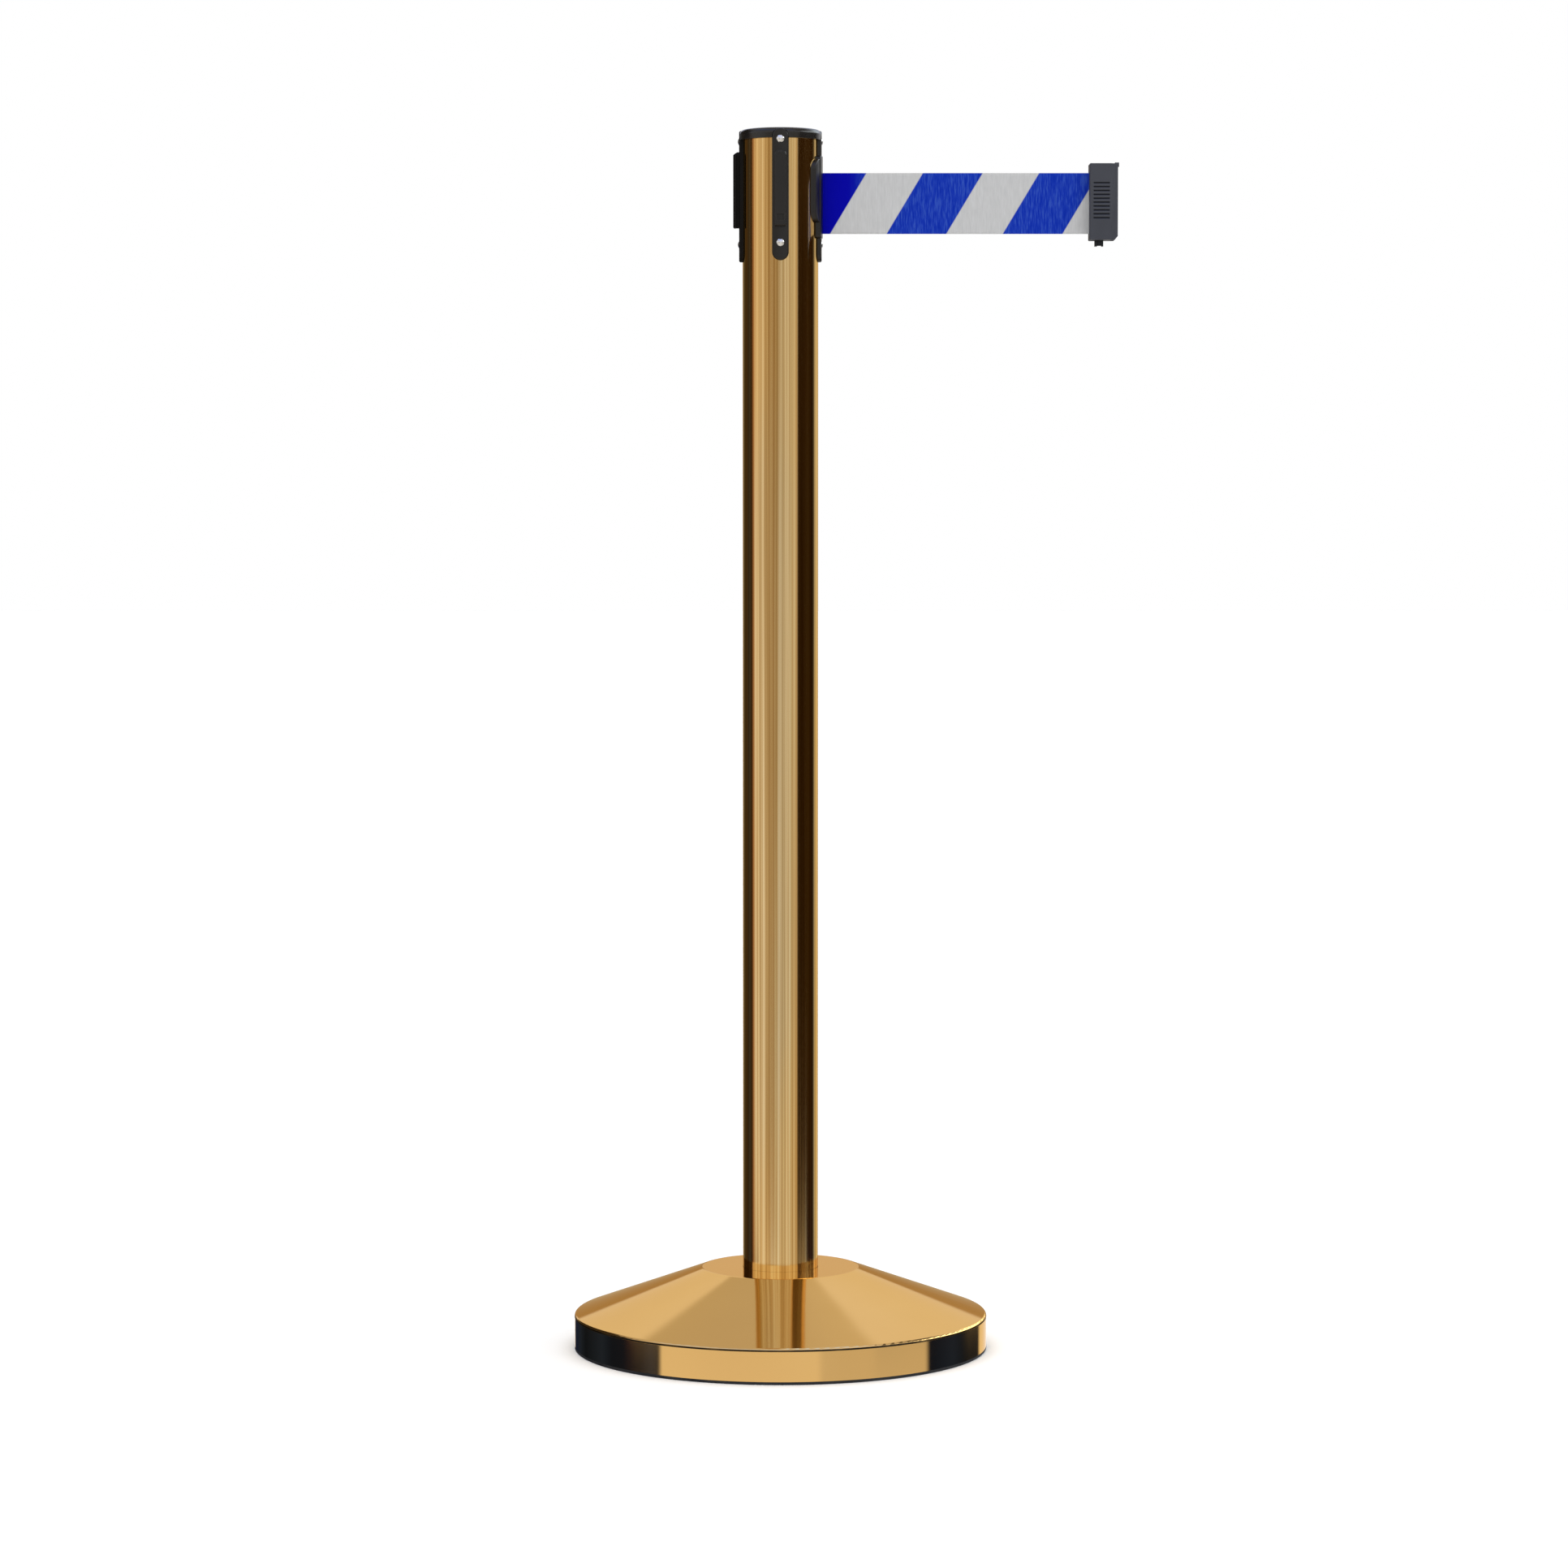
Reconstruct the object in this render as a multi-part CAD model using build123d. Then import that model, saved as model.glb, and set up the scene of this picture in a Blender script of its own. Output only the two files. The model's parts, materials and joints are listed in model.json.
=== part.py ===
from build123d import *
import math
import os

# Retractable belt stanchion, in millimetres. The floor is z = 0, the post's axis is x = y = 0,
# the belt leaves the post along +X, and the front of the post is -Y.

# ---- driving dimensions: post ----
HEIGHT = 1030.0
TUBE_R = 31.75
TUBE_BORE_R = 30.25
TUBE_BOTTOM = 50.0
TUBE_TOP = 1026.2
CAP_R = 34.35
CAP_SKIRT = 1019.7
CAP_DOME_R = 284.0

# ---- base ----
BASE_R = 175.0
COVER_WALL = 1.0
COVER_BOTTOM = 2.4
SKIRT_TOP = 29.3
CONE_TOP_R = 66.7
CONE_TOP = 68.7
RING_IN_R = 156.0
WEIGHT_R = 171.0
WEIGHT_BOTTOM = 6.0
WEIGHT_TOP = 17.0
BOLT_R = 6.0
BOLT_HOLE_R = 6.6
BOLT_SEAT = 14.0
WASHER_TOP = 19.0

# ---- strips on the four sides of the head ----
STRIP_R = 34.7
STRIP_W = 14.0
STRIP_LOW = 918.0
STRIP_HIGH = 1027.6
RIVET_Z = (932.8, 1018.6)
RIVET_R = 2.0
RIVET_SEAT = 34.4
RAIL_LOW = 946.5
RAIL_HIGH = 1010.0
RAIL_W = 10.0
RAIL_NECK_W = 6.0
RAIL_NECK_R = 37.3
RAIL_R = 39.6
RAIL_SLANT = 2.7

OUTLET_R = 35.5
OUTLET_W = 23.0
OUTLET_LOW = 937.6
OUTLET_HIGH = 1006.6
FLANK_R = 34.9
FLANK_W = 38.0
FLANK_LOW = 950.3
FLANK_HIGH = 1003.9

# ---- belt ----
BELT_Z = 967.2
BELT_W = 50.8
BELT_T = 0.5
BELT_LOW = BELT_Z - BELT_W / 2
BELT_HIGH = BELT_Z + BELT_W / 2
SLOT_W = 3.4
SLOT_H = 54.8
COIL_R = 21.3
LIP_X = 32.6

# ---- cassette ----
CASSETTE_R = 30.15
RIVET_HOLE_END = 24.6
FLOOR_LOW = 924.0
DRUM_LOW = 928.0
DRUM_R = 23.5
FLOOR_HIGH = 939.0
WALL_R = 26.0
WALL_HIGH = 1009.0
LID_HIGH = 1022.0
LID_WELL_R = 23.0
LID_WELL = 1013.5
SPINDLE_STEP = 1012.0
SPINDLE_R = 4.0
LID_SCREW_R = 1.1
LID_SCREW_ON_R = 28.3
LID_SCREW_ANGLES = (45, 135, 225, 315)
LID_SCREW_SEAT = 1020.0

# ---- spool ----
SPOOL_LOW = 940.0
FLANGE_R = 24.8
FLANGE_T = 1.4
CORE_R = 10.0
CUP_LOW = BELT_HIGH + 0.4
CUP_FLOOR = CUP_LOW + 2.0
CUP_HIGH = 1006.4
CUP_WALL = 1.5
BUSH_R = 5.6
BUSH_BORE_R = 4.05
BUSH_LENGTH = 9.0
ANCHOR_ON_R = 7.9
CUP_SCREW_ON_R = 7.8
CUP_SCREW_ANGLES = (60, 180, 300)

# ---- centrifugal brake ----
PIN_R = 1.5
PIN_ON_R = 17.5
PIN_ANGLE = -52.0
SHOE_LOW = 929.5
SHOE_HIGH = 937.5
SHOE_IN_R = 12.5
SHOE_OUT_R = 21.4
PAD_OUT_R = 22.6

# ---- belt end clip ----
CLIP_IN = 258.8
CLIP_OUT = 282.6
CLIP_BEVEL = 276.7
CLIP_LOW = 936.3
CLIP_HIGH = 1000.2
CLIP_HALF = 10.0
CHANNEL_IN = 276.9
CHANNEL_LIP = 281.1
CHANNEL_HALF = 5.6
CHANNEL_NECK_HALF = 3.6
CHANNEL_TOP = 998.7
BELT_PIN_X = 265.4
BELT_PIN_R = 1.5
LEVER_X = 272.6
LEVER_Z = 978.0
LEVER_HALF = 2.8
LATCH_PIN_R = 1.25
TAB_FOOT = 931.9
TAB_GROOVES = (265.6, 268.1)
TAB_GROOVE_W = 1.1
TAB_GROOVE_DEPTH = 1.0
GROOVES = 10
GROOVE_PITCH = 3.24
GROOVE_TOP = 984.6
GROOVE_IN = 262.0
GROOVE_LENGTH = 13.7
CLIP_SCREWS = ((262.6, 997.0), (272.6, 990.0))


# ---- helpers ----
def ring(outer, inner, low, high):
    """Upright ring round the axis."""
    height = high - low
    solid = Cylinder(outer, height, align=(Align.CENTER, Align.CENTER, Align.MIN))
    if inner > 0:
        solid -= Cylinder(inner, height, align=(Align.CENTER, Align.CENTER, Align.MIN))
    return Pos(0, 0, low) * solid


def turned(points):
    """Solid of revolution about the axis from an outline of (radius, z) points."""
    outline = make_face(Polyline(*points, close=True))
    return revolve(Plane.XZ * outline, Axis.Z)


def block(x, y, z):
    """Box from three (low, high) pairs."""
    size = Box(x[1] - x[0], y[1] - y[0], z[1] - z[0])
    return Pos((x[0] + x[1]) / 2, (y[0] + y[1]) / 2, (z[0] + z[1]) / 2) * size


def radial_rod(radius, start, end, z):
    """Rod along +X."""
    rod = Cylinder(radius, end - start, align=(Align.CENTER, Align.CENTER, Align.MIN))
    return Pos(start, 0, z) * Rot(0, 90, 0) * rod


def rod_y(radius, x, z, start, end):
    """Rod along +Y."""
    rod = Cylinder(radius, end - start, align=(Align.CENTER, Align.CENTER, Align.MIN))
    return Pos(x, start, z) * Rot(-90, 0, 0) * rod


def rod_z(radius, x, y, low, high):
    """Upright rod."""
    rod = Cylinder(radius, high - low, align=(Align.CENTER, Align.CENTER, Align.MIN))
    return Pos(x, y, low) * rod


def stadium(width, low, high, start, end, square_low=False):
    """Plate across +X with round ends, from x = start to x = end."""
    half = width / 2
    bottom = low if square_low else low + half
    top = high - half
    outline = Pos(0, (bottom + top) / 2) * Rectangle(width, top - bottom)
    outline += Pos(0, top) * Circle(half)
    if not square_low:
        outline += Pos(0, bottom) * Circle(half)
    plane = Plane(origin=(start, 0, 0), x_dir=(0, 1, 0), z_dir=(1, 0, 0))
    return extrude(plane * outline, end - start)


def on_circle(solid, radius, angles):
    """Copies of a solid at a radius, one at each angle about the axis."""
    return [Rot(0, 0, angle) * Pos(radius, 0, 0) * solid for angle in angles]


def hexagon_rod(across, low, high):
    """Upright hexagonal prism round the axis."""
    return Pos(0, 0, low) * extrude(RegularPolygon(across / 2, 6, major_radius=False), high - low)


# ---- base ----
def floor_ring():
    """Rubber ring under the weight, with a lip under the cover's edge."""
    seat = BASE_R - COVER_WALL - 0.1
    return turned([
        (RING_IN_R, 0.0), (BASE_R - 0.6, 0.0), (BASE_R, 0.6), (BASE_R, COVER_BOTTOM),
        (seat, COVER_BOTTOM), (seat, WEIGHT_BOTTOM), (RING_IN_R, WEIGHT_BOTTOM),
    ])


def base_weight():
    """Cast disc with a boss that the tube stands on, a recess for the bolt's head, and six ribs."""
    solid = turned([
        (22.0, WEIGHT_BOTTOM), (WEIGHT_R, WEIGHT_BOTTOM), (WEIGHT_R, WEIGHT_TOP - 2.0),
        (WEIGHT_R - 2.0, WEIGHT_TOP), (58.0, WEIGHT_TOP), (37.0, TUBE_BOTTOM),
        (30.0, TUBE_BOTTOM), (29.0, 57.0), (BOLT_HOLE_R, 57.0),
        (BOLT_HOLE_R, WASHER_TOP), (22.0, WASHER_TOP),
    ])
    rib = block((34.0, 158.0), (-4.0, 4.0), (WEIGHT_TOP - 1.0, WEIGHT_TOP + 6.0))
    for rib_copy in on_circle(rib, 0.0, range(0, 360, 60)):
        solid += rib_copy
    return solid


def cover_outline(inset):
    """Outline of the cover's surface, moved in by its wall."""
    slope = math.atan2(CONE_TOP - SKIRT_TOP, BASE_R - CONE_TOP_R)
    shift = inset * math.tan(slope / 2)
    corner = inset * math.tan((math.pi / 2 - slope) / 2)
    return [
        (BASE_R - inset, SKIRT_TOP - corner),
        (CONE_TOP_R - shift, CONE_TOP - inset),
    ]


def base_cover():
    """Spun cover: upright skirt, long cone and a flat top round the tube."""
    outer = cover_outline(0.0)
    inner = cover_outline(COVER_WALL)
    hole = TUBE_R + 0.25
    outline = make_face(Polyline(
        (BASE_R, COVER_BOTTOM), outer[0], outer[1], (hole, CONE_TOP),
        (hole, CONE_TOP - COVER_WALL), inner[1], inner[0],
        (BASE_R - COVER_WALL, COVER_BOTTOM), close=True,
    ))
    for point, radius in ((outer[0], 2.4), (inner[0], 1.4), (outer[1], 4.0), (inner[1], 3.0)):
        corner = outline.vertices().sort_by_distance((point[0], point[1], 0))[0]
        outline = fillet(corner, radius)
    return revolve(Plane.XZ * outline, Axis.Z)


def base_bolt():
    shank = rod_z(BOLT_R, 0, 0, BOLT_SEAT - 0.1, 74.0)
    return hexagon_rod(19.0, 6.6, BOLT_SEAT) + chamfer(shank.edges().sort_by(Axis.Z)[-1], 1.0)


def flat_washer():
    return ring(14.0, BOLT_R + 0.5, BOLT_SEAT + 2.6, WASHER_TOP)


def lock_washer():
    whole = ring(10.3, BOLT_R + 0.2, BOLT_SEAT, BOLT_SEAT + 2.6)
    return whole - block((5.0, 12.0), (-0.6, 0.6), (13.0, 17.0))


def tube_plug():
    return ring(TUBE_BORE_R, BOLT_R, 58.5, 70.0)


# ---- post ----
def around(make, angles=(0, 90, 180, 270)):
    """A solid made for the +X side, repeated round the post."""
    return [Rot(0, 0, angle) * make for angle in angles]


def post_tube():
    """Tube with the belt's window and the rivet holes."""
    tube = ring(TUBE_R, TUBE_BORE_R, TUBE_BOTTOM, TUBE_TOP)
    window = stadium(6.0, BELT_Z - 28.4, BELT_Z + 28.4, 28.0, 34.0)
    tube -= window
    for z in RIVET_Z:
        for hole in around(radial_rod(RIVET_R + 0.05, 28.0, 34.0, z)):
            tube -= hole
    return tube


def cap_notch():
    """Room for a strip's upper end in the cap's skirt."""
    notch = stadium(STRIP_W + 0.3, STRIP_LOW, STRIP_HIGH + 0.15, 28.0, 40.0)
    return notch - ring(TUBE_R, 0, STRIP_LOW - 1.0, HEIGHT)


def top_cap():
    """Cap over the tube's end, slightly domed, notched for the four strips."""
    skirt_in = TUBE_R + 0.1
    profile = make_face([
        Line((0, TUBE_TOP), (28.2, TUBE_TOP)),
        Line((28.2, TUBE_TOP), (28.2, TUBE_TOP - 3.0)),
        Line((28.2, TUBE_TOP - 3.0), (TUBE_BORE_R - 0.1, TUBE_TOP - 3.0)),
        Line((TUBE_BORE_R - 0.1, TUBE_TOP - 3.0), (TUBE_BORE_R - 0.1, TUBE_TOP)),
        Line((TUBE_BORE_R - 0.1, TUBE_TOP), (skirt_in, TUBE_TOP)),
        Line((skirt_in, TUBE_TOP), (skirt_in, CAP_SKIRT)),
        Line((skirt_in, CAP_SKIRT), (CAP_R, CAP_SKIRT)),
        Line((CAP_R, CAP_SKIRT), (CAP_R, 1024.2)),
        ThreePointArc((CAP_R, 1024.2), (33.2, 1027.1), (30.2, 1028.4)),
        Line((30.2, 1028.4), (30.2, HEIGHT)),
        Line((30.2, HEIGHT), (0, HEIGHT)),
        Line((0, HEIGHT), (0, TUBE_TOP)),
    ])
    cap = revolve(Plane.XZ * profile, Axis.Z)
    cap &= Pos(0, 0, HEIGHT - CAP_DOME_R) * Sphere(CAP_DOME_R)
    for notch in around(cap_notch()):
        cap -= notch
    return cap


def strip():
    """Plain strip on the +X side, curved to the tube, with its rivet holes and their seats."""
    plate = ring(STRIP_R, TUBE_R + 0.05, STRIP_LOW, STRIP_HIGH)
    plate &= stadium(STRIP_W, STRIP_LOW, STRIP_HIGH, TUBE_R - 2.0, 40.0)
    outer = plate.faces().filter_by(GeomType.CYLINDER).sort_by(Axis.X)[-1]
    plate = fillet(outer.edges(), 1.5)
    for z in RIVET_Z:
        plate -= radial_rod(RIVET_R + 0.05, 28.0, 40.0, z)
        plate -= radial_rod(3.35, RIVET_SEAT, 40.0, z)
    return plate


def receiver():
    """Strip with the T-shaped rail that a belt end hooks over, and the notch its lever locks in."""
    solid = strip()
    solid += stadium(RAIL_NECK_W, RAIL_LOW, RAIL_HIGH, 33.4, RAIL_NECK_R, square_low=True)
    head = stadium(RAIL_W, RAIL_LOW, RAIL_HIGH, RAIL_NECK_R, RAIL_R, square_low=True)
    face = head.faces().sort_by(Axis.X)[-1]
    head = chamfer(face.edges(), 0.7)
    lead_in = Plane.XZ * make_face(Polyline(
        (RAIL_NECK_R - 1.1, RAIL_HIGH), (RAIL_R, RAIL_HIGH - RAIL_SLANT),
        (RAIL_R + 2.0, RAIL_HIGH - RAIL_SLANT), (RAIL_R + 2.0, RAIL_HIGH + 1.0),
        (RAIL_NECK_R - 1.1, RAIL_HIGH + 1.0), close=True,
    ))
    solid = solid + head - extrude(lead_in, RAIL_W, both=True)
    notch = block((RAIL_R - 1.6, 42.0), (-3.2, 3.2), (RAIL_LOW + 4.4, RAIL_LOW + 9.8))
    return solid - notch


def curved_plate(radius, width, low, high, corner):
    """Plate on the +X side, curved to the tube, with rounded corners and a rounded outer edge."""
    plate = ring(radius, TUBE_R + 0.05, low, high)
    outline = Pos(0, (low + high) / 2) * RectangleRounded(width, high - low, corner)
    plane = Plane(origin=(TUBE_R - 12.0, 0, 0), x_dir=(0, 1, 0), z_dir=(1, 0, 0))
    plate &= extrude(plane * outline, 20.0)
    outer = plate.faces().filter_by(GeomType.CYLINDER).sort_by(Axis.X)[-1]
    return fillet(outer.edges(), 1.0)


def belt_outlet():
    """Strip with a frame round the slot that the belt comes out of, and thinner flanks beside it."""
    solid = strip() + curved_plate(OUTLET_R, OUTLET_W, OUTLET_LOW, OUTLET_HIGH, 3.5)
    solid += curved_plate(FLANK_R, FLANK_W, FLANK_LOW, FLANK_HIGH, 9.0)
    solid -= stadium(SLOT_W, BELT_Z - SLOT_H / 2, BELT_Z + SLOT_H / 2, 28.0, 40.0)
    return solid


def rivet(z):
    """Domed drive rivet on the +X side."""
    rise, dome_r = 1.35, 4.6
    rim = math.degrees(math.asin(1 - rise / dome_r))
    arc = CenterArc((0, rise - dome_r), dome_r, rim, 90 - rim)
    outline = make_face([arc, Line((0, rise), (0, 0)), Line((0, 0), arc @ 0)])
    head = Pos(RIVET_SEAT, 0, z) * Rot(0, 90, 0) * revolve(Plane.XZ * outline, Axis.Z)
    return head + radial_rod(RIVET_R, RIVET_HOLE_END, RIVET_SEAT + 0.1, z)


def receiver_rivets():
    """Eight rivets, two through each strip."""
    return [copy for z in RIVET_Z for copy in around(rivet(z))]


# ---- cassette ----
def at_lid_screws(solid):
    """A solid at each of the lid's screws."""
    return on_circle(solid, LID_SCREW_ON_R, LID_SCREW_ANGLES)


def rivet_holes(z):
    """Four holes in the cassette that the rivets at one height end in."""
    return around(radial_rod(RIVET_R, RIVET_HOLE_END, 32.0, z))


def cassette_housing():
    """Floor with the brake drum in it, and a wall open where the belt leaves."""
    solid = ring(CASSETTE_R, 0, FLOOR_LOW, FLOOR_HIGH)
    solid -= ring(DRUM_R, 7.0, DRUM_LOW, FLOOR_HIGH + 1.0)
    solid += ring(CASSETTE_R, WALL_R, FLOOR_HIGH - 0.5, WALL_HIGH)
    solid -= block((20.0, 32.0), (-12.5, 12.5), (FLOOR_HIGH, WALL_HIGH + 1.0))
    solid -= rod_z(SPINDLE_R, 0, 0, FLOOR_LOW - 1.0, FLOOR_HIGH + 1.0)
    solid -= hexagon_rod(12.2, FLOOR_LOW - 1.0, FLOOR_LOW + 2.5)
    for hole in at_lid_screws(rod_z(LID_SCREW_R, 0, 0, 995.0, WALL_HIGH + 1.0)) + rivet_holes(RIVET_Z[0]):
        solid -= hole
    return solid


def cassette_lid():
    """Lid with a ribbed well for the spindle's nut."""
    solid = ring(CASSETTE_R, SPINDLE_R - 1.0, WALL_HIGH, LID_HIGH)
    solid -= ring(LID_WELL_R, 0, LID_WELL, LID_HIGH + 1.0)
    solid -= rod_z(SPINDLE_R, 0, 0, WALL_HIGH - 1.0, SPINDLE_STEP)
    rib = block((6.5, LID_WELL_R + 0.5), (-1.0, 1.0), (LID_WELL - 0.5, LID_WELL + 5.5))
    for rib_copy in on_circle(rib, 0.0, range(0, 360, 60)):
        solid += rib_copy
    screw_hole = rod_z(LID_SCREW_R, 0, 0, WALL_HIGH - 1.0, LID_HIGH)
    for hole in at_lid_screws(screw_hole) + rivet_holes(RIVET_Z[1]):
        solid -= hole
    for seat in at_lid_screws(rod_z(1.9, 0, 0, LID_SCREW_SEAT, LID_HIGH + 1.0)):
        solid -= seat
    return solid


def lid_screws():
    head_top = LID_SCREW_SEAT + 1.8
    screw = rod_z(LID_SCREW_R, 0, 0, 996.0, LID_SCREW_SEAT) + rod_z(1.8, 0, 0, LID_SCREW_SEAT, head_top)
    screw -= block((-2.0, 2.0), (-0.25, 0.25), (head_top - 0.7, head_top + 0.7))
    return at_lid_screws(screw)


def spindle():
    """Fixed spindle: hexagonal foot in the floor, slot for the spring's inner end, thinner upper end."""
    solid = hexagon_rod(12.0, FLOOR_LOW, FLOOR_LOW + 2.5)
    solid += rod_z(SPINDLE_R, 0, 0, FLOOR_LOW, SPINDLE_STEP)
    solid += rod_z(SPINDLE_R - 1.0, 0, 0, SPINDLE_STEP - 1.0, 1021.0)
    return solid - block((0.0, 5.0), (-0.3, 0.3), (CUP_FLOOR + 0.3, 1006.6))


def spindle_washer():
    return ring(6.0, SPINDLE_R - 1.0, LID_WELL, LID_WELL + 1.0)


def spindle_nut():
    seat = LID_WELL + 1.0
    return hexagon_rod(10.0, seat, seat + 4.5) - rod_z(SPINDLE_R - 1.0, 0, 0, seat - 0.5, seat + 5.5)


def thrust_washer():
    return ring(6.8, SPINDLE_R + 0.05, FLOOR_HIGH, SPOOL_LOW - 0.3)


def power_spring():
    """Flat spiral strip from the slot in the spindle to the hook in the cup's wall."""
    thickness = 0.25
    low = CUP_FLOOR + 0.5
    start_r, end_r, turns, steps = 4.9, 22.4, 10, 36
    count = turns * steps

    def edge(offset):
        points = []
        for i in range(count + 1):
            angle = math.radians(360.0 / steps) * i
            radius = start_r + (end_r - start_r) * i / count + offset
            points.append((radius * math.cos(angle), radius * math.sin(angle)))
        return points

    outline = make_face(Polyline(*edge(-thickness / 2), *reversed(edge(thickness / 2)), close=True))
    strip_band = extrude(Pos(0, 0, low) * outline, 10.0)
    tongue = block((0.5, start_r), (-thickness / 2, thickness / 2), (low, low + 10.0))
    return strip_band + tongue


# ---- spool ----
def at_cup_screws(solid):
    """A solid at each of the screws that hold the spring's cup on the core."""
    return on_circle(solid, CUP_SCREW_ON_R, CUP_SCREW_ANGLES)


def spool_core():
    """Core with a flange below, bush seats at both ends, and a slot for the belt's inner end."""
    solid = ring(FLANGE_R, 0, SPOOL_LOW, SPOOL_LOW + FLANGE_T)
    solid += ring(CORE_R, 0, SPOOL_LOW, CUP_LOW)
    solid -= rod_z(SPINDLE_R + 0.6, 0, 0, SPOOL_LOW - 1.0, CUP_LOW + 1.0)
    solid -= rod_z(BUSH_R, 0, 0, SPOOL_LOW - 1.0, SPOOL_LOW + BUSH_LENGTH)
    solid -= rod_z(BUSH_R, 0, 0, CUP_LOW - BUSH_LENGTH, CUP_LOW + 1.0)
    slot = (SPOOL_LOW + FLANGE_T + 0.4, CUP_LOW + 1.0)
    solid -= rod_z(1.4, ANCHOR_ON_R, 0, *slot)
    solid -= block((ANCHOR_ON_R, CORE_R + 1.0), (-0.5, 0.5), slot)
    for hole in at_cup_screws(rod_z(0.9, 0, 0, CUP_LOW - 8.0, CUP_LOW + 1.0)):
        solid -= hole
    for hole in pin_places(rod_z(PIN_R, 0, 0, SPOOL_LOW - 1.0, SPOOL_LOW + 2.0)):
        solid -= hole
    return solid


def spring_cup():
    """Cup for the power spring, which is also the spool's upper flange, with the spring's hook."""
    solid = ring(FLANGE_R - 0.4, BUSH_R + 0.2, CUP_LOW, CUP_FLOOR)
    solid += ring(FLANGE_R - 0.4, FLANGE_R - 0.4 - CUP_WALL, CUP_LOW, CUP_HIGH)
    solid += block((21.9, 23.2), (0.4, 1.4), (CUP_FLOOR - 0.1, CUP_HIGH - 0.5))
    for hole in at_cup_screws(rod_z(1.0, 0, 0, CUP_LOW - 1.0, CUP_FLOOR + 1.0)):
        solid -= hole
    for seat in at_cup_screws(rod_z(1.9, 0, 0, CUP_LOW + 1.0, CUP_FLOOR + 1.0)):
        solid -= seat
    return solid


def spring_cup_lid():
    return ring(FLANGE_R - 0.4, 6.0, CUP_HIGH, CUP_HIGH + 0.8)


def cup_screws():
    screw = rod_z(0.9, 0, 0, CUP_LOW - 7.0, CUP_LOW + 1.0)
    return at_cup_screws(screw + rod_z(1.8, 0, 0, CUP_LOW + 1.0, CUP_FLOOR - 0.1))


def lower_bush():
    return ring(BUSH_R, BUSH_BORE_R, SPOOL_LOW, SPOOL_LOW + BUSH_LENGTH)


def upper_bush():
    return ring(BUSH_R, BUSH_BORE_R, CUP_LOW - BUSH_LENGTH, CUP_LOW)


def belt_anchor_rod():
    """Rod in the belt's inner hem, which keeps it in the core's slot."""
    return rod_z(1.1, ANCHOR_ON_R, 0, SPOOL_LOW + FLANGE_T + 0.6, CUP_LOW - 0.2)


def belt_coil():
    """Outer shape of the wound belt."""
    return ring(COIL_R, CORE_R, BELT_LOW, BELT_HIGH)


# ---- brake ----
def pin_places(solid):
    """A solid at each of the two brake pins."""
    return on_circle(solid, PIN_ON_R, (PIN_ANGLE, PIN_ANGLE + 180.0))


def brake_pins():
    return pin_places(rod_z(PIN_R, 0, 0, DRUM_LOW + 1.0, SPOOL_LOW + FLANGE_T))


def wedge(low_angle, high_angle, low, high):
    """Sector of a disc wide enough to cut a brake shoe to its length."""
    reach = 40.0
    points = [(0.0, 0.0)]
    for angle in (low_angle, (low_angle + high_angle) / 2, high_angle):
        points.append((reach * math.cos(math.radians(angle)), reach * math.sin(math.radians(angle))))
    return extrude(Pos(0, 0, low) * make_face(Polyline(*points, close=True)), high - low)


def brake_shoe(turn):
    """Weighted shoe that swings out on its pin as the spool speeds up."""
    solid = ring(SHOE_OUT_R, SHOE_IN_R, SHOE_LOW, SHOE_HIGH)
    solid &= wedge(-65.0, 65.0, SHOE_LOW, SHOE_HIGH)
    pin_x = PIN_ON_R * math.cos(math.radians(PIN_ANGLE))
    pin_y = PIN_ON_R * math.sin(math.radians(PIN_ANGLE))
    solid -= rod_z(PIN_R + 0.05, pin_x, pin_y, SHOE_LOW - 1.0, SHOE_HIGH + 1.0)
    return Rot(0, 0, turn) * solid


def brake_pad(turn):
    """Rubber pad on a shoe's outer face."""
    solid = ring(PAD_OUT_R, SHOE_OUT_R, SHOE_LOW + 0.5, SHOE_HIGH - 0.5)
    solid &= wedge(-10.0, 60.0, SHOE_LOW, SHOE_HIGH)
    return Rot(0, 0, turn) * solid


# ---- belt ----
def belt_webbing():
    """Webbing from the coil, round the lip of the outlet, out to its loop round the clip's pin."""
    tangent = math.acos(COIL_R / LIP_X)
    coil_x = (COIL_R + 0.3) * math.cos(tangent)
    coil_y = (COIL_R + 0.3) * math.sin(tangent)
    loop_in_r = BELT_PIN_R + 0.05
    loop_r = loop_in_r + BELT_T
    path = FilletPolyline(
        (coil_x, coil_y), (LIP_X, 0.0), (BELT_PIN_X - loop_r + 0.2, 0.0), radius=4.0,
    )
    outline = trace(path, line_width=BELT_T)
    band = extrude(Pos(0, 0, BELT_LOW) * outline, BELT_W)
    loop = rod_z(loop_r, BELT_PIN_X, 0, BELT_LOW, BELT_HIGH)
    loop -= rod_z(loop_in_r, BELT_PIN_X, 0, BELT_LOW - 1.0, BELT_HIGH + 1.0)
    band -= rod_z(loop_r - 0.2, BELT_PIN_X, 0, BELT_LOW - 1.0, BELT_HIGH + 1.0)
    return band + loop


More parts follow.
